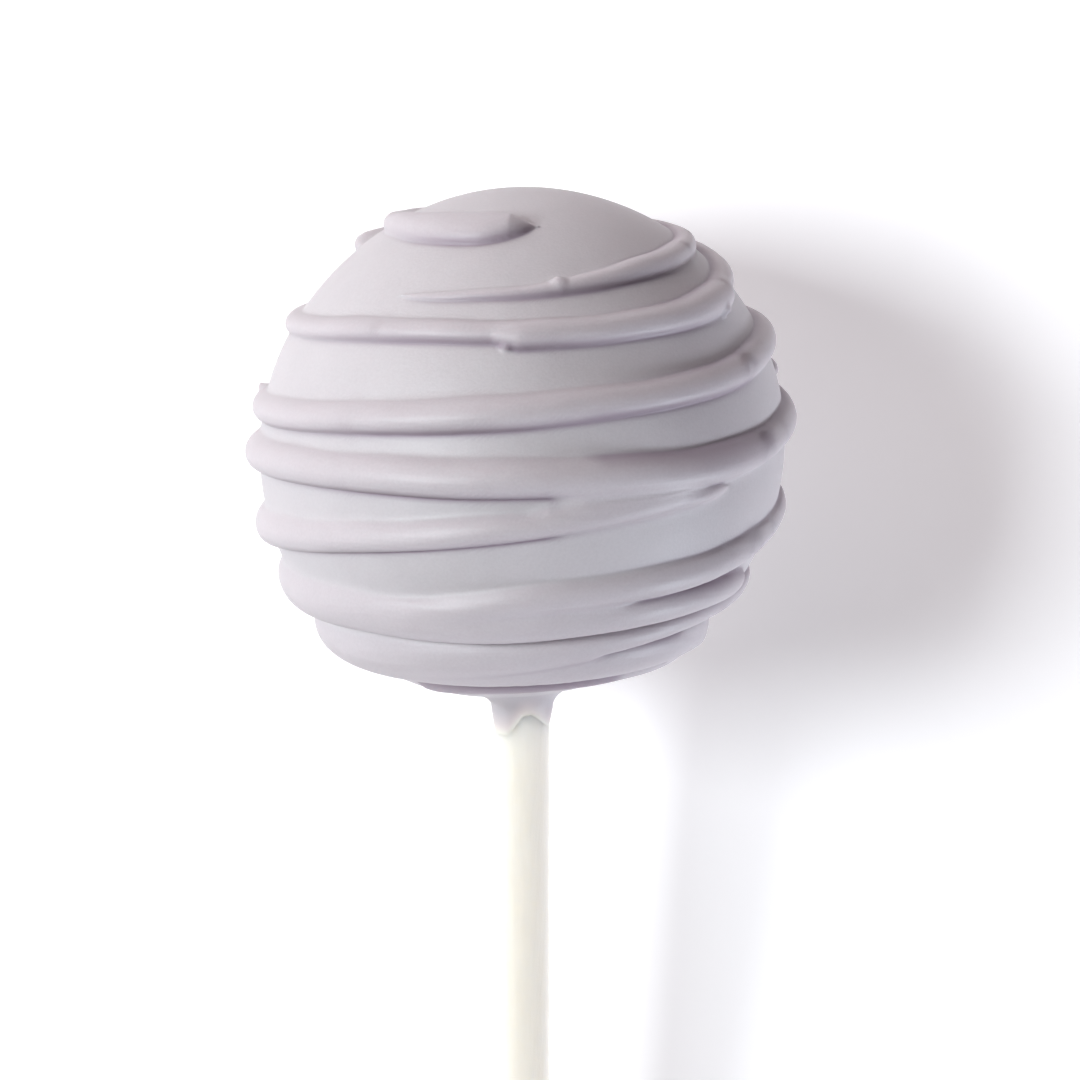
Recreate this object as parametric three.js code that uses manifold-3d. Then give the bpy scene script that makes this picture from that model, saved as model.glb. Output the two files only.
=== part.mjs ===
// A cake pop lying on its side: a dipped ball of cake wound with thick drizzle, on a rolled paper stick.
// Millimetres, +Z up. The pop points along +Y with its decorated front facing up. It rests on a small flat
// spot under the ball, which is the origin, and on the far end of the stick.
//
// On the ball, a place is given by its azimuth (0 at the shown front, 90 at the right side) and its latitude
// (90 at the crown, -90 where the stick goes in), both in degrees.

import * as THREE from "three";
import { mergeVertices } from "three/addons/utils/BufferGeometryUtils.js";
import Module from "manifold-3d";

const wasm = await Module();
wasm.setup();

const ballRadius = 19.05;
const flatDepth = 0.45; // how much of the lowest drizzle is pressed flat

const stickRadius = 2;
const stickLength = 150; // from the ball's centre to the far end
const stickTop = 1; // the inner end, just past the ball's centre
const stickChamfer = 0.2;
const stickGap = 0.25; // clear space between the stick and the coating round it

const neckWall = 0.25; // the coating that ran down the stick
const neckBottom = 21.2; // its lowest point, below the ball's centre
const flareHeight = 1.3;
const flareReach = 1.5;

// Where the dipped ball departs from a sphere: rise in mm, spread in degrees.
const ballLumps = [
  { azimuth: 95, latitude: 35, rise: 0.25, spread: 35 },
  { azimuth: 85, latitude: -42, rise: -0.75, spread: 30 },
  { azimuth: 20, latitude: -72, rise: -1.15, spread: 30 },
  { azimuth: -85, latitude: 45, rise: -0.3, spread: 30 },
];

const drizzleShare = 0.42; // a strand's height as a share of its width
const drizzleHighest = 1.1;
const drizzleSag = 0.15; // how far a strand's crest sinks towards the base, in half widths
const drizzleSeat = 0.12; // how far below the coating's surface a strand's edges lie
const drizzleRoot = 0.7; // how deep a strand is sunk in the coating
const tipShare = 0.2; // the size left at the very end of a strand
const pointedness = 1.5; // how fast a pointed tip grows: 1 is a straight cone
const stationStep = 45; // azimuth between two stations of a strand

// Each strand starts at an azimuth and winds from right to left over the front, then on behind.
// Its latitude and width are given at stations 45 degrees apart, the main drizzle's with a row to each turn.
const strands = [
  {
    name: "crown drizzle", // the pointed drop at the crown, which thins into a tail on its second pass
    startAzimuth: 8.5,
    endAzimuth: -397,
    tips: [3.8, 6],
    pointed: true,
    firstStation: 45,
    latitudes: [67.5, 67.1, 65.3, 61.7, 58.2, 55, 52, 52.6, 51, 47.1, 43.4],
    widths: [3.9, 3.9, 3.5, 2.1, 1.3, 1.5, 1.6, 1.75, 2, 1, 0.6],
  },
  {
    name: "main drizzle",
    startAzimuth: -103,
    endAzimuth: -2204,
    tips: [2, 2.5],
    firstStation: -90,
    latitudes: [
      [51, 49.5, 47.5, 45.5],
      [42, 38.1, 37.3, 35.2, 29.8, 27, 26, 26],
      [26.2, 22.5, 20, 15.3, 10.5, 9.3, 9.5, 9.5],
      [8.4, 5.5, 6, 4.1, 0.7, -4, -7, -9.5],
      [-12, -17.6, -21.6, -27.6, -28.3, -29.5, -30.2, -30.4],
      [-30.5, -32.3, -37.8, -41.2, -43, -45, -47, -49],
      [-51.8, -50.6, -53, -55.2, -57],
    ].flat(),
    widths: [
      [1.8, 2, 2.2, 2.4],
      [2.3, 2.3, 1.9, 1.8, 1.7, 2.3, 2.6, 2.5],
      [2.4, 2.2, 2.5, 2.2, 2, 2.4, 2.4, 2.5],
      [2.3, 2.7, 2.8, 2.6, 2.5, 2.6, 2.8, 2.6],
      [1.9, 2.4, 2.2, 1.3, 2, 2.4, 2.4, 2.5],
      [1.9, 1.8, 2.7, 3.4, 3.2, 2.6, 2.4, 2.4],
      [2.1, 1.9, 1.8, 1.5, 1.5],
    ].flat(),
  },
  {
    name: "equator branch",
    startAzimuth: 49,
    endAzimuth: -222,
    tips: [3, 4],
    firstStation: 90,
    latitudes: [3.5, -0.1, -4.3, -10.6, -15.8, -17, -15.5, -12.5],
    widths: [0.9, 1.35, 1.95, 2.25, 2.6, 2.5, 2.2, 2],
  },
  {
    name: "lower branch",
    startAzimuth: 70,
    endAzimuth: -178,
    tips: [4, 4],
    firstStation: 90,
    latitudes: [-25.3, -25.4, -28, -28.2, -29.4, -31.5, -32.5],
    widths: [2, 2.4, 3.1, 3.6, 3.3, 2.6, 2],
  },
  {
    name: "base branch",
    startAzimuth: 70,
    endAzimuth: -178,
    tips: [3, 4],
    firstStation: 90,
    latitudes: [-41, -42, -44.4, -45.1, -44.8, -49, -52],
    widths: [2, 3.8, 3.5, 3, 2.5, 2.6, 2.2],
  },
  {
    name: "rear branch",
    startAzimuth: -120,
    endAzimuth: -262,
    tips: [4, 2],
    firstStation: -90,
    latitudes: [11, 12.5, 14.5, 16, 16],
    widths: [1.8, 2, 2, 1.8, 1.6],
  },
];

// Small drops and points that the drizzle left: radius, and rise above the coating, in mm.
const drops = [
  { azimuth: 12, latitude: 48.6, radius: 0.65, rise: 0.72 },
  { azimuth: -3.8, latitude: 34.1, radius: 0.4, rise: 0.4 },
  { azimuth: 66, latitude: 36.4, radius: 0.5, rise: 0.8 },
  { azimuth: -93, latitude: 13.4, radius: 0.35, rise: 0.7 },
  { azimuth: 57, latitude: -25, radius: 0.7, rise: 0.75 },
  { azimuth: 58, latitude: -49.5, radius: 0.65, rise: 0.7 },
];

// How finely the round forms are faceted.
const facets = {
  ball: [36, 18],
  neck: 24,
  flare: 5,
  stick: 36,
  dome: 5, // flats over the top of a strand
  strandStep: 11, // degrees of azimuth between two sections of a strand
  drop: [10, 8],
};

// The resting pose: the pressed drizzle and the stick's lowest rim both lie at height 0.
const centreHeight = ballRadius + drizzleHighest - flatDepth;
const rimDistance = stickLength - stickChamfer;
const restTilt =
  Math.asin(centreHeight / Math.hypot(rimDistance, stickRadius)) -
  Math.atan2(stickRadius, rimDistance);

const radians = THREE.MathUtils.degToRad;

function direction(azimuth, latitude) {
  const level = Math.cos(radians(latitude));
  return new THREE.Vector3(
    level * Math.sin(radians(azimuth)),
    Math.sin(radians(latitude)),
    level * Math.cos(radians(azimuth)),
  );
}

const lumpDirections = ballLumps.map((lump) =>
  direction(lump.azimuth, lump.latitude),
);

// Distance from the ball's centre to the coating's surface, in the direction of a unit vector.
function surfaceRadius(towards) {
  return ballLumps.reduce((radius, lump, i) => {
    const away = towards.angleTo(lumpDirections[i]) / radians(lump.spread);
    return radius + lump.rise * Math.exp(-away * away);
  }, ballRadius);
}

const ballBottom = surfaceRadius(direction(0, -90));

// A closed geometry as a solid that can be joined and cut.
function solid(geometry) {
  const bare = geometry.clone();
  bare.deleteAttribute("normal");
  bare.deleteAttribute("uv");
  const merged = mergeVertices(bare, 1e-4);
  return new wasm.Manifold(
    new wasm.Mesh({
      numProp: 3,
      vertProperties: merged.attributes.position.array,
      triVerts: new Uint32Array(merged.index.array),
    }),
  );
}

function geometryOf(manifold) {
  const mesh = manifold.getMesh();
  const geometry = new THREE.BufferGeometry();
  const positions = new THREE.BufferAttribute(mesh.vertProperties, 3);
  geometry.setAttribute("position", positions);
  geometry.setIndex(new THREE.BufferAttribute(mesh.triVerts, 1));
  geometry.computeVertexNormals();
  return geometry;
}

// Moves every vertex of a geometry as the function says.
function reshape(geometry, move) {
  const position = geometry.attributes.position;
  const vertex = new THREE.Vector3();
  for (let i = 0; i < position.count; i++) {
    vertex.fromBufferAttribute(position, i);
    move(vertex);
    position.setXYZ(i, vertex.x, vertex.y, vertex.z);
  }
  return geometry;
}

function ballGeometry() {
  const sphere = new THREE.SphereGeometry(1, ...facets.ball);
  return reshape(sphere, (vertex) => {
    vertex.normalize();
    vertex.multiplyScalar(surfaceRadius(vertex));
  });
}

// The coating that ran down the stick: a flare off the ball, then a thin sleeve.
function neckGeometry() {
  const radius = stickRadius + stickGap + neckWall;
  const flare = new THREE.CubicBezierCurve(
    new THREE.Vector2(radius, -ballBottom - flareHeight),
    new THREE.Vector2(radius, -ballBottom - flareHeight / 2),
    new THREE.Vector2(radius + flareReach / 4, -ballBottom),
    new THREE.Vector2(radius + flareReach, -ballBottom + drizzleSeat),
  );
  const profile = [
    new THREE.Vector2(0, -neckBottom),
    new THREE.Vector2(radius, -neckBottom),
    ...flare.getPoints(facets.flare),
    new THREE.Vector2(radius, -ballBottom + flareHeight),
    new THREE.Vector2(0, -ballBottom + flareHeight),
  ];
  return new THREE.LatheGeometry(profile, facets.neck);
}

// A strand's section: across in half widths, with the base's side positive, up in heights, and down in
// root depths.
function strandSection() {
  const section = new THREE.Shape();
  section.moveTo(1, 0);
  for (let i = 1; i <= facets.dome; i++) {
    const around = (Math.PI * i) / facets.dome;
    const up = Math.sin(around);
    section.lineTo(Math.cos(around) + drizzleSag * up * up, up);
  }
  section.lineTo(-1, -1);
  section.lineTo(1, -1);
  section.closePath();
  return section;
}

// A strand's size near its ends, as a share of its full size: round tips, or a pointed one at its start.
function tipSize(fromStart, fromEnd, { tips, pointed }) {
  const startLeft = 1 - THREE.MathUtils.clamp(fromStart / tips[0], 0, 1);
  const endLeft = 1 - THREE.MathUtils.clamp(fromEnd / tips[1], 0, 1);
  const atStart = pointed ? 1 - startLeft ** pointedness : Math.sqrt(1 - startLeft ** 2);
  return Math.max(tipShare, Math.min(atStart, Math.sqrt(1 - endLeft ** 2)));
}

// The extruded section laid round the ball along the strand's stations.
function strandGeometry(strand) {
  const stations = strand.latitudes.map(
    (latitude, i) => new THREE.Vector3(i, latitude, strand.widths[i]),
  );
  const chart = new THREE.CatmullRomCurve3(stations, false, "catmullrom", 0.5);
  const chartLength = stationStep * (stations.length - 1);
  const read = (azimuth) =>
    chart.getPoint((strand.firstStation - azimuth) / chartLength);
  const swept = strand.startAzimuth - strand.endAzimuth;
  const geometry = new THREE.ExtrudeGeometry(strandSection(), {
    depth: 1,
    steps: Math.round(swept / facets.strandStep),
    bevelEnabled: false,
  });

  return reshape(geometry, (vertex) => {
    const azimuth = strand.startAzimuth - swept * vertex.z;
    const { y: latitude, z: fullWidth } = read(azimuth);
    const towards = direction(azimuth, latitude);
    const ahead = direction(azimuth - 1, read(azimuth - 1).y).sub(towards);
    const across = ahead.cross(towards).normalize().negate();
    const perDegree = radians(ballRadius) * Math.cos(radians(latitude));
    const fromStart = (strand.startAzimuth - azimuth) * perDegree;
    const fromEnd = (azimuth - strand.endAzimuth) * perDegree;
    const width = fullWidth * tipSize(fromStart, fromEnd, strand);
    const height = Math.min(width * drizzleShare, drizzleHighest);

    towards.multiplyScalar(ballRadius);
    towards.addScaledVector(across, (vertex.x * width) / 2).normalize();
    const rise =
      vertex.y < 0 ? -drizzleRoot : vertex.y * (height + drizzleSeat) - drizzleSeat;
    vertex.copy(towards).multiplyScalar(surfaceRadius(towards) + rise);
  });
}

function dropGeometry(drop) {
  const towards = direction(drop.azimuth, drop.latitude);
  const middle = surfaceRadius(towards) + drop.rise - drop.radius;
  const { x, y, z } = towards.multiplyScalar(middle);
  return new THREE.SphereGeometry(drop.radius, ...facets.drop).translate(x, y, z);
}

// A plain round rod along the pop's axis, between two heights.
function rodGeometry(radius, low, high, sides) {
  const rod = new THREE.CylinderGeometry(radius, radius, high - low, sides);
  return rod.translate(0, (low + high) / 2, 0);
}

function stickGeometry() {
  const profile = [
    new THREE.Vector2(0, -stickLength),
    new THREE.Vector2(stickRadius - stickChamfer, -stickLength),
    new THREE.Vector2(stickRadius, -stickLength + stickChamfer),
    new THREE.Vector2(stickRadius, stickTop),
    new THREE.Vector2(0, stickTop),
  ];
  return new THREE.LatheGeometry(profile, facets.stick);
}

// Everything is shaped upright, and this group lays it down with its front up and its ball over the origin.
const lying = new THREE.Group();
lying.position.z = centreHeight;
lying.rotation.x = restTilt;
lying.updateMatrixWorld(true);

// The ball, its neck and its drizzle as one solid, bored for the stick and pressed flat where it rests.
function cakeGeometry() {
  const pieces = [
    ballGeometry(),
    neckGeometry(),
    ...strands.map(strandGeometry),
    ...drops.map(dropGeometry),
  ];
  const coated = pieces.map(solid).reduce((joined, piece) => joined.add(piece));
  const bore = rodGeometry(
    stickRadius + stickGap,
    -2 * ballRadius,
    stickTop + stickGap,
    facets.neck,
  );
  const bored = geometryOf(coated.subtract(solid(bore)));

  const reach = 4 * ballRadius;
  const below = new THREE.BoxGeometry(reach, reach, reach);
  below.translate(0, 0, -reach / 2);
  const laid = solid(bored.applyMatrix4(lying.matrixWorld));
  const toUpright = lying.matrixWorld.clone().invert();
  return geometryOf(laid.subtract(solid(below))).applyMatrix4(toUpright);
}

const cake = new THREE.Mesh(
  cakeGeometry(),
  new THREE.MeshStandardMaterial({
    color: 0xb9b2b9,
    roughness: 0.42,
    metalness: 0,
  }),
);
cake.name = "coated_cake";

const stick = new THREE.Mesh(
  stickGeometry(),
  new THREE.MeshStandardMaterial({
    color: 0xf1ece0,
    roughness: 0.8,
    metalness: 0,
  }),
);
stick.name = "paper_stick";

lying.add(cake, stick);

const cakePop = new THREE.Group();
cakePop.add(lying);

export default cakePop;
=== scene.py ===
import math

import bpy
import numpy as np
from mathutils import Matrix, Vector, noise


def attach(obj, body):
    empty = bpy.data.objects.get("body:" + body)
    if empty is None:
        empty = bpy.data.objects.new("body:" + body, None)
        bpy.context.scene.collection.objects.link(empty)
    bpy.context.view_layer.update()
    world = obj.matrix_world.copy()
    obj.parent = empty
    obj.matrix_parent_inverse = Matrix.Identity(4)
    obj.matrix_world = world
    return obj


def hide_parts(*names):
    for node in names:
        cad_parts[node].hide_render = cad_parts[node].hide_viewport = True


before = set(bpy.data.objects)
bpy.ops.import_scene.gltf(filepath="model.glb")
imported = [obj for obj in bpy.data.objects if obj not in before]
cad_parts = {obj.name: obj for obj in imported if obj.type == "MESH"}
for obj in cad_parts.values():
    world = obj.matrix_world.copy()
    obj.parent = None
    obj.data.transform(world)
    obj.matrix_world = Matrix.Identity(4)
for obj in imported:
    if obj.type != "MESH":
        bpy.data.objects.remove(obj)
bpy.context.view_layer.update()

# The pop is shaped upright in millimetres, then laid down: X to the right, Y up the stick to the crown,
# Z out of the decorated front. A place on the ball is an azimuth, 0 at the front and 90 at the right,
# and a latitude, 90 at the crown and -90 where the stick goes in, both in degrees.
mm = 0.001

ball = {
    "radius": 19.05,
    "flatDepth": 0.45,  # how much of the lowest drizzle is pressed flat
    "lumps": [  # azimuth, latitude, rise, spread in degrees
        (95, 35, 0.25, 35),
        (85, -42, -0.75, 30),
        (20, -72, -1.15, 30),
        (-85, 45, -0.3, 30),
    ],
    "waviness": 0.05,  # slow unevenness of the dipped coating
    "wavinessSize": 8,
    "highestLatitude": 89.6,
    "lowestLatitude": -77,  # below it the coating flares out of the ball and on down the stick
}

# How finely the coating is laid out: columns from the crown to the base, rows round the ball.
grid = {
    "columns": 400,
    "rows": 222,
    "frontExtra": 0.9,  # how many more columns the front has, as a share
    "frontWithin": 112,
    "frontFade": 4,
    "rowSteps": 1700,
    "edgeExtra": 3.2,  # how many more rows lie along a strand's edges
    "edgeWithin": 0.8,  # degrees of latitude
    "endFade": 0.8,  # mm past a strand's end
    "dropExtra": 3,
    "dropWithin": (6, 2.2),  # azimuth and latitude
    "heights": (-0.3, 1.7),  # over the coating, between which the surface is looked for
    "halvings": 16,
}

drizzle = {
    "heightShare": 0.42,  # a strand's height as a share of its width
    "highest": 1.1,
    "seat": 0.12,  # how far below the coating's surface a strand's edges lie
    "sag": 0.15,  # how far a strand's crest has slipped towards its lower edge, in half widths
    # At these azimuths: how softly a strand's lower and upper edges run into what they lie on, in mm,
    # how dark the painted shade line along each of them is, and how far that painted shade spreads over the
    # strand, in mm.
    "sides": ((1, "below"), (-1, "above")),
    "edgePlaces": (-180, -75, -30, 10, 50, 75, 120, 180),
    "filletBelow": (0.2, 0.12, 0.08, 0.08, 0.1, 0.3, 0.4, 0.2),
    "filletAbove": (0.4, 0.6, 0.65, 0.4, 0.1, 0.1, 0.1, 0.4),
    "creaseBelow": (0.3, 0.15, 1, 1, 1, 0.2, 0.1, 0.3),
    "creaseAbove": (0.1, 0, 0, 0.2, 0.8, 0.9, 0.9, 0.1),
    "reachBelow": (0.25, 0.36, 0.4, 0.38, 0.22, 0.2, 0.2, 0.25),
    "reachAbove": (0.25, 0.25, 0.25, 0.3, 0.5, 0.4, 0.35, 0.25),
    "creaseWidth": 0.26,  # how far the painted crease shade spreads beyond the strand
    "creaseCover": 0.3,  # how deep under another strand the painted crease shade fades
    "narrowStrand": 0.5,  # half the width under which a strand's painted shade lines get fainter
    "meltFillet": 1.2,
    "dropFillet": 0.25,
    "tipShare": 0.2,  # the size left at the very end of a round-ended strand
    "pointShare": 0.05,  # and of a pointed one
    "pointPower": 1.7,
    "overlap": 2,  # how far past a strand's end it still counts
    "margin": 1,  # and how far beside it
    "stationStep": 45,  # azimuth between two stations of a strand
    "changeWithin": 5,  # degrees of azimuth over which an edge's line or place changes
    "meltWithin": 8,
    "stepWithin": 7,
    "widthVariation": 0.035,
    "wander": 0.06,
    "ripples": (9.7, 4.3),  # degrees of azimuth of the slow and the quick unevenness along a strand
    "quickShare": 0.7,
    "fullColour": 0.3,  # the height from which the coating has the drizzle's colour
    # Each strand winds from right to left over the front, then on behind.
    # A row of latitudes and a row of widths belong to each turn of the main drizzle.
    "strands": {
        "crown": {
            "start": 8.5,
            "end": -397,
            "tips": (3.8, 6),
            "pointed": True,
            "firstStation": 45,
            "latitudes": [67.5, 67.1, 65.3, 61.7, 58.2, 55, 52, 52.6, 51, 47.1, 43.4],
            "widths": [3.9, 3.9, 3.5, 2.1, 1.3, 1.5, 1.6, 1.75, 2, 1, 0.6],
        },
        "main": {
            "start": -103,
            "end": -2204,
            "tips": (2, 2.5),
            "pointed": False,
            "firstStation": -90,
            "step": (-364, -285, 0.55),  # from, to, and how much lower the lower edge is there
            # Where an edge isn't as the table above says:
            # side, from, to, share melted into what lies beside it, how dark and how broad its painted shade
            # line is.
            "changes": [
                ("below", -1071, -1041, 1, 0, 1),
                ("below", -1041, -1000, 0.3, 0, 1),
                ("below", -705, -655, 0, 1, 1.6),
                # Painted shade, broad, over the upper side of this pass where it faces away from the light.
                ("above", -1065, -1015, 0, 0.9, 3),
                ("above", -1425, -1360, 0, 0.8, 0.5),
                ("below", -1480, -1414, 0.6, 0, 1),
                ("below", -1773, -1755, 0, 1, 1.5),
                # Painted shade, broad, over the upper face of the lowest pass, tucked in the shade of the
                # pass above.
                ("above", -2220, -2125, 0, 1, 7.5),
            ],
            "latitudes": [51, 49.5, 47.5, 45.5]
            + [42.3, 38.9, 37.5, 35.2, 29.8, 27, 26, 26]
            + [26.2, 22.5, 20, 15.3, 10.5, 9.3, 9.5, 9.5]
            + [8.4, 5.5, 6, 4.1, 0.7, -4, -7, -9.5]
            + [-12, -17.6, -21.6, -27.6, -28.3, -29.5, -30.2, -30.4]
            + [-30.5, -32.3, -37.8, -41.2, -43, -45, -47, -49]
            + [-51.8, -50.6, -53, -55.2, -57],
            "widths": [1.8, 2, 2.2, 2.4]
            + [2.1, 1.75, 1.7, 1.8, 1.7, 2.3, 2.6, 2.5]
            + [2.4, 2.2, 2.5, 2.2, 2, 2.4, 2.4, 2.5]
            + [2.3, 2.7, 2.8, 2.6, 2.5, 2.6, 2.8, 2.6]
            + [1.9, 2.4, 2.2, 1.3, 2, 2.4, 2.4, 2.5]
            + [1.9, 1.8, 2.7, 3.4, 3.2, 2.6, 2.4, 2.4]
            + [2.1, 1.9, 1.8, 1.5, 1.5],
        },
        "equatorBranch": {
            "start": 49,
            "end": -222,
            "tips": (3, 4),
            "pointed": False,
            "firstStation": 90,
            "changes": [("above", 2, 40, 1, 0, 1), ("below", 8, 60, 0.4, 0.2, 1)],
            "latitudes": [3.5, -0.1, -4.3, -10.6, -15.8, -17, -15.5, -12.5],
            "widths": [0.9, 1.35, 1.95, 2.25, 2.6, 2.5, 2.2, 2],
        },
        "lowerBranch": {
            "start": 70,
            "end": -178,
            "tips": (4, 4),
            "pointed": False,
            "firstStation": 90,
            "changes": [("above", -30, 26, 0.6, 0, 1), ("above", 32, 60, 0, 1, 1.2)],
            "latitudes": [-25.3, -25.4, -28, -28.2, -29.4, -31.5, -32.5],
            "widths": [2, 2.4, 3.1, 3.6, 3.3, 2.6, 2],
        },
        "baseBranch": {
            "start": 70,
            "end": -178,
            "tips": (3, 4),
            "pointed": False,
            "firstStation": 90,
            "changes": [
                ("above", 27, 46, 0, 1, 1.3),
                ("above", -60, 22, 1, 0, 1),
                ("above", 51, 80, 1, 0, 1),
            ],
            "latitudes": [-41, -42, -44.4, -45.1, -44.8, -49, -52],
            "widths": [2, 3.8, 3.5, 3, 2.5, 2.6, 2.2],
        },
        "rearBranch": {
            "start": -120,
            "end": -262,
            "tips": (4, 2),
            "pointed": False,
            "firstStation": -90,
            "latitudes": [11, 12.5, 14.5, 16, 16],
            "widths": [1.8, 2, 2, 1.8, 1.6],
        },
    },
    # Small drops and points that the drizzle left: azimuth, latitude, radius, rise.
    "drops": [
        (12, 48.6, 0.65, 0.72),
        (-3.8, 34.1, 0.4, 0.4),
        (66, 36.4, 0.5, 0.8),
        (-93, 13.4, 0.35, 0.7),
        (57, -25, 0.7, 0.75),
        (58, -49.5, 0.65, 0.7),
    ],
}

neck = {
    "sleeveTop": (2.25, -19.3),  # radius and height where the flare has become a sleeve
    "sleeveEnd": 2.035,
    "flareRows": 8,
    "sleeveRows": 8,
    # Radius and lift over its edge of the coating's last rings, the lower ones hidden inside the stick.
    "end": [(2.005, 0.05), (1.985, -0.1), (1.97, -0.25), (1.9, -0.3), (1.7, 0.4)],
    "flareBend": (1, 0.24, 0.9),  # how far the flare leans in and down, and how long it runs straight
    "endRise": 0.12,  # from the coating's edge up to the sleeve's last ring
    "neckShadeOver": 1.2,  # over this height down the neck the coating takes a darker painted shade colour, the shade under the ball
    "featherOver": 1.6,  # how far above its end the coating starts to thin out
    # Where the coating stops on the stick, all the way round: azimuth and height.
    "edge": [(-180, -20.1), (-80, -20.95), (-36, -20.95), (9, -19.35), (75, -20.55), (180, -20.1)],
}

stick = {
    "radius": 2,
    "length": 150,  # from the ball's centre to the far end
    "top": 1,
    "chamfer": 0.2,
    "bevel": 0.05,  # at the hidden end
    "sides": 120,
    "rings": (60, -2, 3),  # how many, where they start, and how far from the far end they stop
    "seam": (15, 0.015),  # azimuth and thickness of the paper's outer edge
    "layers": (0.24, 0.07),  # spacing and depth of the rolled layers at the far end
    "groove": (0.3, 0.15),  # where the groove between two layers starts and is deepest, in spacings
}


def restingPose():
    height = ball["radius"] + drizzle["highest"] - ball["flatDepth"]
    rim = stick["length"] - stick["chamfer"]
    tilt = math.asin(height / math.hypot(rim, stick["radius"])) - math.atan2(stick["radius"], rim)
    return height, tilt


degree = math.radians(ball["radius"])  # mm along the coating
centreHeight, restTilt = restingPose()
layDown = Matrix.Translation((0, 0, centreHeight * mm)) @ Matrix.Rotation(restTilt, 4, "X")


def towards(azimuth, latitude):
    az, lat = np.radians(azimuth), np.radians(latitude)
    return np.stack([np.cos(lat) * np.sin(az), np.sin(lat), np.cos(lat) * np.cos(az)], -1)


def coatingRadius(directions):
    radius = np.full(directions.shape[:-1], float(ball["radius"]))
    for azimuth, latitude, rise, spread in ball["lumps"]:
        away = np.degrees(np.arccos(np.clip(directions @ towards(azimuth, latitude), -1, 1)))
        radius += rise * np.exp(-((away / spread) ** 2))
    return radius


def alongStations(values, place):
    # A Catmull-Rom curve through evenly spaced stations.
    v = np.array([2 * values[0] - values[1], *values, 2 * values[-1] - values[-2]], float)
    i = np.clip(np.floor(place), 0, len(values) - 2).astype(int)
    f = place - i
    a, b, c, d = v[i], v[i + 1], v[i + 2], v[i + 3]
    return 0.5 * (
        2 * b + (c - a) * f + (2 * a - 5 * b + 4 * c - d) * f**2 + (3 * b - a - 3 * c + d) * f**3
    )


def share(unwound, low, high, within):
    return np.clip(0.5 + np.minimum(unwound - low, high - unwound) / within, 0, 1)


def ripple(angle, seed):
    slow, quick = drizzle["ripples"]
    quickShare = drizzle["quickShare"]
    both = np.sin(angle / slow + seed) + quickShare * np.sin(angle / quick + 2.1 * seed)
    return both / (1 + quickShare)


def strandAt(strand, azimuth, seed):
    place = (strand["firstStation"] - azimuth) / drizzle["stationStep"]
    latitude = alongStations(strand["latitudes"], place)
    perDegree = degree * np.cos(np.radians(latitude))
    begun = np.clip((strand["start"] - azimuth) * perDegree / strand["tips"][0], 0, 1)
    left = np.clip((azimuth - strand["end"]) * perDegree / strand["tips"][1], 0, 1)
    if strand["pointed"]:
        begun = 1 - (1 - begun) ** drizzle["pointPower"]
    else:
        begun = np.sqrt(1 - (1 - begun) ** 2)
    size = np.minimum(begun, np.sqrt(1 - (1 - left) ** 2))
    size = np.maximum(size, drizzle["pointShare" if strand["pointed"] else "tipShare"])
    width = alongStations(strand["widths"], place) * size
    width = width * (1 + drizzle["widthVariation"] * ripple(azimuth, seed))
    latitude = latitude + np.degrees(drizzle["wander"] / ball["radius"]) * ripple(azimuth, seed + 3)
    if "step" in strand:
        low, high, lower = strand["step"]
        lower = lower * share(azimuth, low, high, drizzle["stepWithin"])
        width = width + lower
        latitude = latitude - np.degrees(lower / 2 / ball["radius"])
    return latitude, width, perDegree


def edgesOf(strand, azimuth, unwound):
    # For each side: how softly the edge runs out, how dark its painted shade line is and how broad.
    edges = {}
    for sign, side in drizzle["sides"]:
        rows = (drizzle[kind + side.title()] for kind in ("fillet", "crease", "reach"))
        fillet, dark, broad = (np.interp(azimuth, drizzle["edgePlaces"], row) for row in rows)
        for changed, low, high, melted, darkness, breadth in strand.get("changes", []):
            if changed == side:
                here = share(unwound, low, high, drizzle["changeWithin"])
                soft = share(unwound, low, high, drizzle["meltWithin"])
                fillet = np.maximum(fillet, drizzle["meltFillet"] * melted * soft)
                dark = dark + (darkness - dark) * here
                broad = broad * (1 + (breadth - 1) * here)
        edges[side] = (fillet, dark, broad)
    return edges


def passesOver(azimuth):
    # Every pass of every strand over these azimuths.
    for seed, strand in enumerate(drizzle["strands"].values()):
        first = math.floor((180 - strand["start"]) / 360)
        last = math.ceil((180 - strand["end"]) / 360)
        for turn in range(first, last + 1):
            unwound = azimuth - 360 * turn
            held = np.clip(unwound, strand["end"], strand["start"])
            latitude, width, perDegree = strandAt(strand, held, seed)
            past = np.abs(unwound - held) * perDegree
            if past.min() < drizzle["overlap"]:
                ahead = strandAt(strand, np.clip(held - 1, strand["end"], None), seed)[0]
                slope = (latitude - ahead) / np.cos(np.radians(latitude))
                edges = edgesOf(strand, azimuth, unwound)
                yield latitude, width, past, np.cos(np.arctan(slope)), edges


def columnAzimuths():
    fine = np.linspace(-180, 180, 3601)
    beyond = (np.abs(fine) - grid["frontWithin"]) / grid["frontFade"]
    density = 1 + grid["frontExtra"] / (1 + np.exp(beyond))
    filled = np.concatenate([[0], np.cumsum((density[1:] + density[:-1]) / 2)])
    wanted = np.linspace(0, filled[-1], grid["columns"] + 1)[:-1]
    return np.interp(wanted, filled, fine)


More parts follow.
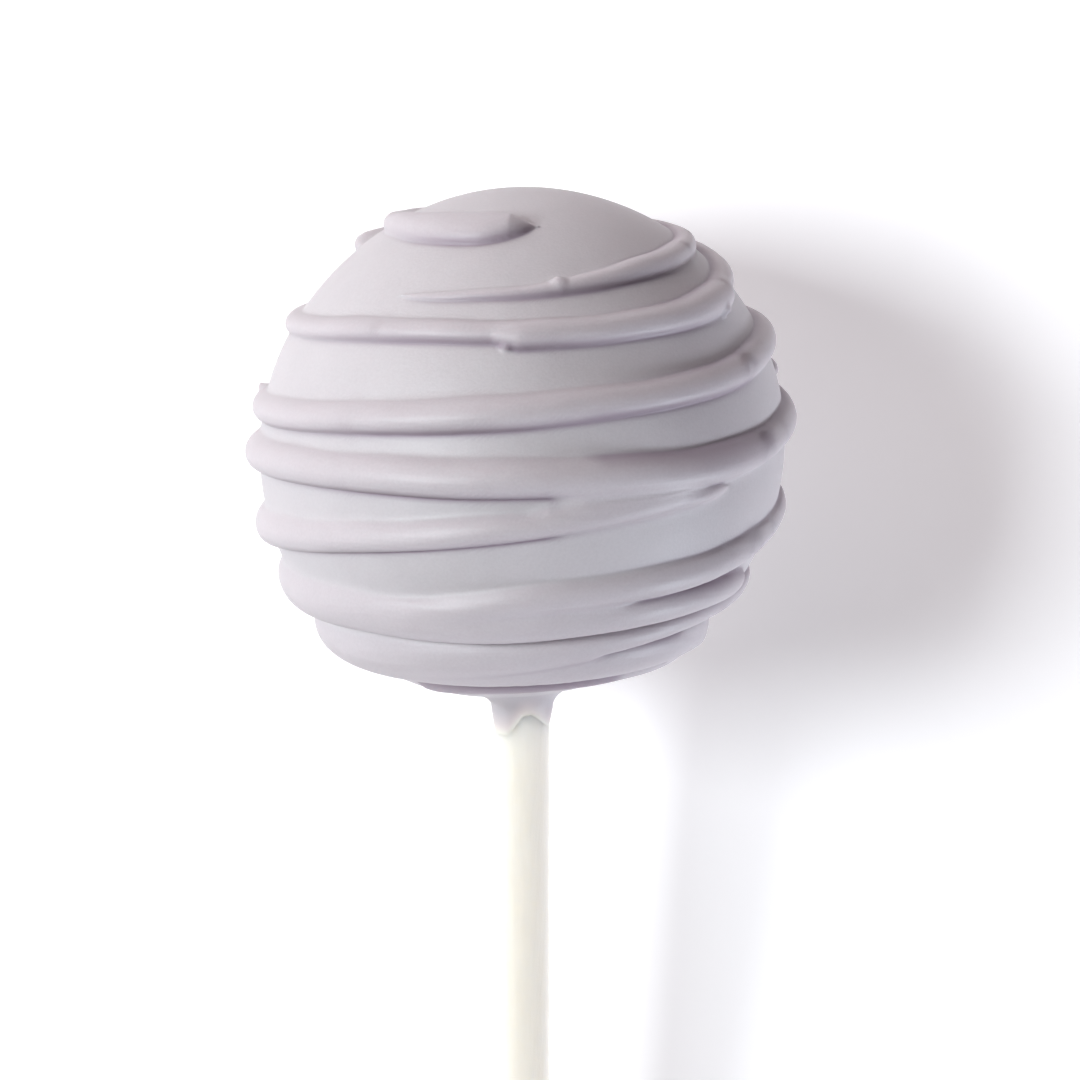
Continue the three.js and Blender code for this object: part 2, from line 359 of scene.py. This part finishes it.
def rowLatitudes(azimuths):
    # More rows where a strand's edges rise out of the coating, fewer on the bare ball between them.
    fine = np.linspace(ball["lowestLatitude"], ball["highestLatitude"], grid["rowSteps"])
    density = np.ones((len(azimuths), len(fine)))
    for latitude, width, past, lean, edges in passesOver(azimuths):
        present = np.exp(-((past / grid["endFade"]) ** 2))[:, None]
        for side in (-1, 1):
            edge = (latitude + side * width / 2 / degree / lean)[:, None]
            density += grid["edgeExtra"] * present * np.exp(-(((fine - edge) / grid["edgeWithin"]) ** 2))
    across, along = grid["dropWithin"]
    for azimuth, latitude, radius, rise in drizzle["drops"]:
        near = np.exp(-(((azimuths - azimuth) / across) ** 2))[:, None]
        density += grid["dropExtra"] * near * np.exp(-(((fine - latitude) / along) ** 2))
    filled = np.cumsum(density, 1)
    filled = (filled - filled[:, :1]) / (filled[:, -1:] - filled[:, :1])
    wanted = np.linspace(1, 0, grid["rows"])
    return np.stack([np.interp(wanted, column, fine) for column in filled], 1)


def softUnion(a, b, width):
    blend = np.clip(0.5 + 0.5 * (b - a) / width, 0, 1)
    return b * (1 - blend) + a * blend - width * blend * (1 - blend)


def strandForm(height, across, past, half, high):
    # About how far a place lies outside a strand, whose section is half an ellipse with a slipped crest.
    up = height + drizzle["seat"]
    side = across / half
    slipped = side + drizzle["sag"] * np.maximum(1 - side**2, 0)
    steepness = 1 - 2 * drizzle["sag"] * np.clip(side, -1, 1)
    near = np.sqrt(slipped**2 + (past / half) ** 2 + (up / high) ** 2)
    pull = np.hypot(slipped * steepness, past / half) / half
    pull = np.hypot(pull, up / high**2)
    return near * (near - 1) / np.maximum(pull, 1e-6)


def dropForm(height, directions, azimuth, latitude, radius, rise):
    away = (directions * towards(azimuth, latitude)).sum(-1)
    flat = np.arccos(np.clip(away, -1, 1)) * ball["radius"]
    at = np.nonzero(flat < radius + drizzle["margin"])
    return at, np.hypot(flat[at], height[at] - rise + radius) - radius


def paintedCreaseShade(height, forms, lines):
    # Painted shade: a thin dark line painted along a strand's edges, where shade falls in the crease, unless
    # another strand covers it.
    crease = np.zeros_like(height)
    for (at, across, past, half, high, fillet), sides in zip(forms, lines):
        covered = strandForm(height[at], across, past, half, high) / drizzle["creaseCover"]
        narrow = np.clip(half / drizzle["narrowStrand"], 0, 1)
        for sign, dark, broad in sides:
            beyond = sign * across + half + fillet
            inside = np.maximum(beyond, 0) / broad
            outside = np.minimum(beyond, 0) / drizzle["creaseWidth"]
            line = dark * narrow * np.exp(-(inside**2) - outside**2 - covered**2 - past**2)
            crease[at] = np.maximum(crease[at], line)
    return crease


def drizzledHeights(azimuth, latitude):
    # Finds, along each direction from the ball's centre, how high the drizzle stands over the coating.
    directions = towards(azimuth, latitude)
    forms, lines = [], []
    for centre, width, past, lean, edges in passesOver(azimuth):
        across = (latitude - centre) * degree * lean
        reach = width / 2 + drizzle["margin"]
        at = np.nonzero((np.abs(across) < reach) & (past < reach))
        high = np.minimum(width[at] * drizzle["heightShare"], drizzle["highest"]) + drizzle["seat"]
        upper = np.clip(0.5 + across[at] / width[at], 0, 1)
        fillet = edges["below"][0][at] * (1 - upper) + edges["above"][0][at] * upper
        forms.append((at, across[at], past[at], width[at] / 2, high, fillet))
        lines.append([(sign, *(each[at] for each in edges[side][1:])) for sign, side in drizzle["sides"]])

    def distance(height):
        nearest = height.copy()
        for at, *shape, fillet in forms:
            nearest[at] = softUnion(nearest[at], strandForm(height[at], *shape), fillet)
        for drop in drizzle["drops"]:
            at, form = dropForm(height, directions, *drop)
            nearest[at] = softUnion(nearest[at], form, drizzle["dropFillet"])
        return nearest

    low, high = (np.full(azimuth.shape, value) for value in grid["heights"])
    for halving in range(grid["halvings"]):
        middle = (low + high) / 2
        outside = distance(middle) > 0
        high = np.where(outside, middle, high)
        low = np.where(outside, low, middle)
    height = (low + high) / 2
    return height, paintedCreaseShade(height, forms, lines)


def waveHeights(points):
    size = 1 / ball["wavinessSize"]
    waves = [noise.noise(Vector(point) * size) for point in points.reshape(-1, 3)]
    return np.array(waves).reshape(points.shape[:-1])


def edgeHeights(azimuths):
    places, heights = np.array(neck["edge"], float).T
    i = np.clip(np.searchsorted(places, azimuths, side="right") - 1, 0, len(places) - 2)
    f = (azimuths - places[i]) / (places[i + 1] - places[i])
    f = f * f * (3 - 2 * f)
    return heights[i] * (1 - f) + heights[i + 1] * f


def neckRings(azimuths, lastRing):
    # The coating goes on from the ball's last ring: a flare, a thin sleeve and its end on the stick.
    spread, height = np.hypot(lastRing[:, 0], lastRing[:, 2]), lastRing[:, 1]
    sleeve, top = neck["sleeveTop"]
    leanIn, leanDown, straight = neck["flareBend"]
    end = edgeHeights(azimuths)
    bend = [(spread, height), (spread - leanIn, height - leanDown), (sleeve, top + straight), (sleeve, top)]
    profile = []
    for step in range(1, neck["flareRows"] + 1):
        t = step / neck["flareRows"]
        weights = ((1 - t) ** 3, 3 * t * (1 - t) ** 2, 3 * t * t * (1 - t), t**3)
        profile.append([sum(w * point[axis] for w, point in zip(weights, bend)) for axis in (0, 1)])
    for step in range(1, neck["sleeveRows"] + 1):
        t = step / neck["sleeveRows"]
        radius = sleeve * (1 - t) + neck["sleeveEnd"] * t
        profile.append([radius, top * (1 - t) + (end + neck["endRise"]) * t])
    for radius, lift in neck["end"]:
        profile.append([radius, end + lift])
    around = np.radians(azimuths)
    return [
        np.stack([radius * np.sin(around), height + 0 * around, radius * np.cos(around)], -1)
        for radius, height in profile
    ]


def latheMesh(name, rings, topPole, bottomPole):
    # Rings of points from the top down, closed at both ends.
    points = np.concatenate([[topPole], *rings, [bottomPole]])
    columns = len(rings[0])
    faces = []
    for j in range(columns):
        k = (j + 1) % columns
        faces.append((0, 1 + j, 1 + k))
        for i in range(len(rings) - 1):
            a = 1 + i * columns
            faces.append((a + columns + j, a + columns + k, a + k, a + j))
        last = 1 + (len(rings) - 1) * columns
        faces.append((len(points) - 1, last + k, last + j))
    mesh = bpy.data.meshes.new(name)
    mesh.from_pydata((points * mm).tolist(), [], faces)
    mesh.transform(layDown)
    mesh.polygons.foreach_set("use_smooth", [True] * len(faces))
    return mesh


def pointAttribute(mesh, name, values):
    attribute = mesh.attributes.new(name, "FLOAT", "POINT")
    attribute.data.foreach_set("value", np.asarray(values, np.float32))


def makeCoating():
    azimuths = columnAzimuths()
    latitudes = rowLatitudes(azimuths)
    azimuthGrid = np.broadcast_to(azimuths, latitudes.shape)
    heights, creaseShading = drizzledHeights(azimuthGrid, latitudes)
    directions = towards(azimuthGrid, latitudes)
    radii = coatingRadius(directions)
    radii += ball["waviness"] * waveHeights(directions * ball["radius"])
    points = directions * (radii + heights)[..., None]
    rings = list(points)
    rings += neckRings(azimuths, rings[-1])
    crown = np.array([0, radii[0].mean() + heights[0].mean(), 0])
    inside = np.array([0, edgeHeights(np.zeros(1))[0] + 1, 0])
    mesh = latheMesh("candyCoating", rings, crown, inside)

    # What rests on the surface is pressed flat against it.
    for vertex in mesh.vertices:
        vertex.co.z = max(vertex.co.z, 0)

    neckHeights = np.array(rings[len(points):])[..., 1]
    # Painted shade: the neck under the ball is coloured darker, as if in the ball's shadow.
    neckShade = np.clip((neckHeights[0] - neckHeights) / neck["neckShadeOver"], 0, 1)
    thin = np.clip(1 - (neckHeights - edgeHeights(azimuths)) / neck["featherOver"], 0, 1)
    drizzled = np.clip(heights / drizzle["fullColour"], 0, 1)
    offBall, offNeck = np.zeros(heights.size), np.zeros(neckShade.size)
    pointAttribute(mesh, "drizzle", [0, *drizzled.ravel(), *offNeck, 0])
    pointAttribute(mesh, "crease", [0, *creaseShading.ravel(), *offNeck, 0])
    pointAttribute(mesh, "neckShade", [0, *offBall, *neckShade.ravel(), 1])
    pointAttribute(mesh, "thin", [0, *offBall, *thin.ravel(), 1])
    return bpy.data.objects.new("candyCoating", mesh)


def makeStick():
    r, c, far, top, bevel = (stick[k] for k in ("radius", "chamfer", "length", "top", "bevel"))
    around = np.linspace(0, 2 * math.pi, stick["sides"], endpoint=False)
    seam, thickness = stick["seam"]
    turned = (np.degrees(around) - seam) % 360 / 360
    count, first, last = stick["rings"]
    profile = [(r / 2, top), (r - bevel, top), (r, top - bevel)]
    profile += [(r, y) for y in np.linspace(first, -far + last, count)]
    profile += [(r, -far + c), (r - c * 0.3, -far + c * 0.25), (r - c, -far)]
    spacing, depth = stick["layers"]
    begins, deepest = (spacing * part for part in stick["groove"])
    for layer in range(1, int(r / spacing) - 1):
        inner = r - c - layer * spacing
        profile += [(inner + begins, -far), (inner + deepest, -far + depth), (inner, -far)]
    rings = [
        np.stack([(radius - thickness * turned) * f for f in (np.sin(around), np.cos(around))], -1)
        for radius, height in profile
    ]
    rings = [np.insert(ring, 1, height, 1) for ring, (radius, height) in zip(rings, profile)]
    mesh = latheMesh("rolledPaperStick", rings, np.array([0, top, 0]), np.array([0, -far, 0]))
    return bpy.data.objects.new("rolledPaperStick", mesh)


def newGroup(name, inputs, outputs):
    group = bpy.data.node_groups.new(name, "ShaderNodeTree")
    for socket, default in inputs.items():
        kind = "NodeSocketVector" if isinstance(default, tuple) else "NodeSocketFloat"
        group.interface.new_socket(socket, in_out="INPUT", socket_type=kind).default_value = default
    for socket in outputs:
        group.interface.new_socket(socket, in_out="OUTPUT", socket_type="NodeSocketFloat")
    nodes, links = group.nodes, group.links
    return group, nodes, links, nodes.new("NodeGroupInput"), nodes.new("NodeGroupOutput")


def softMottleGroup():
    # Slow, cloudy unevenness, as a value round 0.5.
    group, nodes, links, given, out = newGroup(
        "softMottle", {"Patch Size": 0.004, "Stretch": (1.0, 1.0, 1.0), "Contrast": 1.0}, ["Value"]
    )
    place = nodes.new("ShaderNodeTexCoord")
    invert = nodes.new("ShaderNodeMath")
    invert.operation = "DIVIDE"
    invert.inputs[0].default_value = 1
    links.new(given.outputs["Patch Size"], invert.inputs[1])
    stretched = nodes.new("ShaderNodeVectorMath")
    stretched.operation = "MULTIPLY"
    links.new(place.outputs["Object"], stretched.inputs[0])
    links.new(given.outputs["Stretch"], stretched.inputs[1])
    cloud = nodes.new("ShaderNodeTexNoise")
    cloud.inputs["Detail"].default_value = 3
    links.new(stretched.outputs[0], cloud.inputs["Vector"])
    links.new(invert.outputs[0], cloud.inputs["Scale"])
    centred = nodes.new("ShaderNodeMath")
    centred.operation = "SUBTRACT"
    centred.inputs[1].default_value = 0.5
    links.new(cloud.outputs["Fac"], centred.inputs[0])
    scaled = nodes.new("ShaderNodeMath")
    scaled.operation = "MULTIPLY_ADD"
    scaled.inputs[2].default_value = 0.5
    links.new(centred.outputs[0], scaled.inputs[0])
    links.new(given.outputs["Contrast"], scaled.inputs[1])
    links.new(scaled.outputs[0], out.inputs["Value"])
    return group


mottle = softMottleGroup()


def newMaterial(name, groupSettings):
    material = bpy.data.materials.new(name)
    material.use_nodes = True
    nodes, links = material.node_tree.nodes, material.node_tree.links
    shader = nodes["Principled BSDF"]
    placed = []
    for settings in groupSettings:
        node = nodes.new("ShaderNodeGroup")
        node.node_tree = mottle
        for socket, value in settings.items():
            node.inputs[socket].default_value = value
        placed.append(node)
    return material, nodes, links, shader, placed


def mixColour(nodes, links, factor, a, b):
    mix = nodes.new("ShaderNodeMix")
    mix.data_type = "RGBA"
    for socket, value in (("Factor", factor), ("A", a), ("B", b)):
        target = next(s for s in mix.inputs if s.name == socket and (socket == "Factor" or s.type == "RGBA"))
        if isinstance(value, bpy.types.NodeSocket):
            links.new(value, target)
        else:
            target.default_value = value
    return next(s for s in mix.outputs if s.type == "RGBA")


def combine(nodes, links, operation, *values):
    node = nodes.new("ShaderNodeMath")
    node.operation = operation
    for target, value in zip(node.inputs, values):
        if isinstance(value, bpy.types.NodeSocket):
            links.new(value, target)
        else:
            target.default_value = value
    return node.outputs[0]


def rangeValue(nodes, links, source, low, high):
    mapped = nodes.new("ShaderNodeMapRange")
    mapped.inputs["To Min"].default_value = low
    mapped.inputs["To Max"].default_value = high
    links.new(source, mapped.inputs["Value"])
    return mapped.outputs["Result"]


def attributeValue(nodes, name):
    node = nodes.new("ShaderNodeAttribute")
    node.attribute_name = name
    return node.outputs["Fac"]


def finish(nodes, links, shader, height, look):
    bump = nodes.new("ShaderNodeBump")
    bump.inputs["Distance"].default_value = 1
    links.new(height, bump.inputs["Height"])
    links.new(bump.outputs["Normal"], shader.inputs["Normal"])
    weight, radius, scale = look["subsurface"]
    shader.inputs["Subsurface Weight"].default_value = weight
    shader.inputs["Subsurface Radius"].default_value = radius
    shader.inputs["Subsurface Scale"].default_value = scale
    shader.inputs["Specular IOR Level"].default_value = look["specular"]


coating = {
    # The darker and the paler colour of the cloudy mottle.
    "ballColours": ((0.465, 0.428, 0.448, 1), (0.52, 0.484, 0.502, 1)),
    "drizzleColours": ((0.458, 0.41, 0.436, 1), (0.514, 0.468, 0.492, 1)),
    # Painted shade: the dark colour painted along the strands' edges and across the upper sides of some
    # passes.
    "creaseColour": (0.26, 0.2, 0.25, 1),
    # painted shade colour of the neck under the ball
    "neckShadeColour": (0.46, 0.42, 0.44, 1),
    "thinColour": (0.62, 0.53, 0.525, 1),
    "featherColour": (0.78, 0.735, 0.66, 1),
    "creaseShare": 0.85,
    "roughness": (0.48, 0.6),
    "drizzleGloss": 0.04,  # how much less rough the drizzle is
    "grain": 0.000006,
    "peel": 0.00004,  # soft unevenness of the set coating
    "drag": 0.00004,  # lines drawn out along the drizzle
    "featherPower": 4,
    "subsurface": (0.2, (1.0, 0.7, 0.75), 0.0006),  # weight, radius and scale
    "specular": 0.4,
}


def coatingMaterial():
    material, nodes, links, shader, (clouds, grain, peel, drag) = newMaterial(
        "satinCandyMelt",
        [
            {"Patch Size": 0.003, "Contrast": 1.4},
            {"Patch Size": 0.0002, "Contrast": 2.4},
            {"Patch Size": 0.0022, "Contrast": 1.0},
            {"Patch Size": 0.0006, "Stretch": (0.06, 1.0, 0.06), "Contrast": 1.0},
        ],
    )
    speckled = combine(nodes, links, "ADD", clouds.outputs["Value"], grain.outputs["Value"])
    cloud = combine(nodes, links, "MULTIPLY", speckled, 0.5)
    drizzled = attributeValue(nodes, "drizzle")
    thin = attributeValue(nodes, "thin")
    colour = mixColour(
        nodes,
        links,
        drizzled,
        mixColour(nodes, links, cloud, *coating["ballColours"]),
        mixColour(nodes, links, cloud, *coating["drizzleColours"]),
    )
    # Painted shade on the neck under the ball.
    colour = mixColour(nodes, links, attributeValue(nodes, "neckShade"), colour, coating["neckShadeColour"])
    # Painted shade along the strands' edges, where the creases fall into shade.
    crease = rangeValue(nodes, links, attributeValue(nodes, "crease"), 0, coating["creaseShare"])
    colour = mixColour(nodes, links, crease, colour, coating["creaseColour"])
    colour = mixColour(nodes, links, thin, colour, coating["thinColour"])
    feathered = combine(nodes, links, "POWER", thin, coating["featherPower"])
    colour = mixColour(nodes, links, feathered, colour, coating["featherColour"])
    links.new(colour, shader.inputs["Base Color"])
    rough = rangeValue(nodes, links, cloud, *coating["roughness"])
    glossier = combine(nodes, links, "MULTIPLY", drizzled, -coating["drizzleGloss"])
    links.new(combine(nodes, links, "ADD", rough, glossier), shader.inputs["Roughness"])
    dragged = combine(nodes, links, "MULTIPLY", drag.outputs["Value"], drizzled)
    height = combine(nodes, links, "MULTIPLY", grain.outputs["Value"], coating["grain"])
    height = combine(nodes, links, "MULTIPLY_ADD", peel.outputs["Value"], coating["peel"], height)
    height = combine(nodes, links, "MULTIPLY_ADD", dragged, coating["drag"], height)
    finish(nodes, links, shader, height, coating)
    return material


paper = {
    "colour": (0.785, 0.742, 0.69, 1),
    "fibreColour": (0.72, 0.676, 0.608, 1),
    "roughness": (0.7, 0.85),
    "fibres": 0.00003,
    "grain": 0.00001,
    "subsurface": (1, (1.0, 0.95, 0.85), 0.004),
    "specular": 0.3,
}


def paperMaterial():
    material, nodes, links, shader, (clouds, fibres, grain) = newMaterial(
        "tightRolledPaper",
        [
            {"Patch Size": 0.01, "Stretch": (1.0, 0.3, 1.0), "Contrast": 1.0},
            {"Patch Size": 0.0005, "Stretch": (1.0, 0.08, 1.0), "Contrast": 1.5},
            {"Patch Size": 0.00015, "Contrast": 1.5},
        ],
    )
    toned = combine(nodes, links, "ADD", clouds.outputs["Value"], fibres.outputs["Value"])
    toned = combine(nodes, links, "MULTIPLY", toned, 0.5)
    colour = mixColour(nodes, links, toned, paper["colour"], paper["fibreColour"])
    links.new(colour, shader.inputs["Base Color"])
    rough = rangeValue(nodes, links, fibres.outputs["Value"], *paper["roughness"])
    links.new(rough, shader.inputs["Roughness"])
    height = combine(nodes, links, "MULTIPLY", fibres.outputs["Value"], paper["fibres"])
    height = combine(nodes, links, "MULTIPLY_ADD", grain.outputs["Value"], paper["grain"], height)
    finish(nodes, links, shader, height, paper)
    return material


def addPiece(piece, material, node):
    bpy.context.scene.collection.objects.link(piece)
    piece.data.materials.append(material)
    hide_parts(node)
    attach(piece, "root")


addPiece(makeCoating(), coatingMaterial(), "coated_cake")
print("coated ball and drizzle made")
addPiece(makeStick(), paperMaterial(), "paper_stick")
print("paper stick made")

floor = {
    "size": 3.0,
    "drop": 0.00003,
    "colour": (0.86, 0.83, 0.845, 1),
    "glow": 0.35,
    "roughness": 0.9,
    "specular": 0.1,
}


def makeFloor():
    half = floor["size"] / 2
    mesh = bpy.data.meshes.new("paleFloor")
    corners = [(-half, -half), (half, -half), (half, half), (-half, half)]
    mesh.from_pydata([(x, y, -floor["drop"]) for x, y in corners], [], [(0, 1, 2, 3)])
    piece = bpy.data.objects.new("paleFloor", mesh)
    material = bpy.data.materials.new("palePaint")
    material.use_nodes = True
    shader = material.node_tree.nodes["Principled BSDF"]
    shader.inputs["Base Color"].default_value = floor["colour"]
    shader.inputs["Roughness"].default_value = floor["roughness"]
    shader.inputs["Specular IOR Level"].default_value = floor["specular"]
    shader.inputs["Emission Color"].default_value = (1, 1, 1, 1)
    shader.inputs["Emission Strength"].default_value = floor["glow"]
    mesh.materials.append(material)
    bpy.context.scene.collection.objects.link(piece)


makeFloor()

# Places are in metres from the ball's centre, in the picture's directions: right, up, to the camera.
lights = {
    "key": {"place": (-0.53, 0.05, 0.59), "size": 0.3, "power": 7.85, "colour": (0.9, 0.985, 1.0)},
    "highLeft": {"place": (-0.4, 0.6, 0.32), "size": 0.6, "power": 1.5, "colour": (1.0, 0.79, 0.73)},
    "lowLeft": {"place": (-0.5, -0.6, 0.24), "size": 0.3, "power": 0.65, "colour": (1.0, 1.0, 1.0)},
    "lowRight": {"place": (0.66, -0.46, 0.05), "size": 0.2, "power": 5.2, "colour": (0.84, 0.92, 1.0)},
}
room = {"colour": (1.0, 0.3, 0.6), "strength": 0.04}
camera = {
    "elevation": 12.96,  # degrees above the ball's equator
    "lens": 180,
    "sensor": 36,
    "distance": 0.392,
    "aim": (0.00131, -0.00655),  # right of and above the ball's centre, in the picture
}

centre = Vector((0, 0, centreHeight * mm))


def pictureAxes():
    lean = math.radians(camera["elevation"]) - restTilt
    right = Vector((1, 0, 0))
    up = Vector((0, math.cos(lean), -math.sin(lean)))
    return right, up, right.cross(up)


def aimed(name, data, place, target):
    piece = bpy.data.objects.new(name, data)
    piece.location = place
    piece.rotation_euler = (place - target).to_track_quat("Z", "Y").to_euler()
    bpy.context.scene.collection.objects.link(piece)
    return piece


def makeLights():
    right, up, out = pictureAxes()
    for name, light in lights.items():
        data = bpy.data.lights.new(name, "AREA")
        data.size = light["size"]
        data.energy = light["power"]
        data.color = light["colour"]
        x, y, z = light["place"]
        aimed(name, data, centre + right * x + up * y + out * z, centre)
    world = bpy.data.worlds.new("paleRoom")
    world.use_nodes = True
    background = world.node_tree.nodes["Background"]
    background.inputs["Color"].default_value = (*room["colour"], 1)
    background.inputs["Strength"].default_value = room["strength"]
    bpy.context.scene.world = world


def makeCamera():
    right, up, out = pictureAxes()
    data = bpy.data.cameras.new("camera")
    data.lens = camera["lens"]
    data.sensor_width = camera["sensor"]
    data.clip_start = 0.01
    target = centre + right * camera["aim"][0] + up * camera["aim"][1]
    turn = Matrix((right, up, out)).transposed().to_4x4()
    piece = bpy.data.objects.new("camera", data)
    piece.matrix_world = Matrix.Translation(target + out * camera["distance"]) @ turn
    bpy.context.scene.collection.objects.link(piece)
    bpy.context.scene.camera = piece


makeLights()
makeCamera()
bpy.context.scene.view_settings.view_transform = "Standard"
print("floor, lights and camera made")
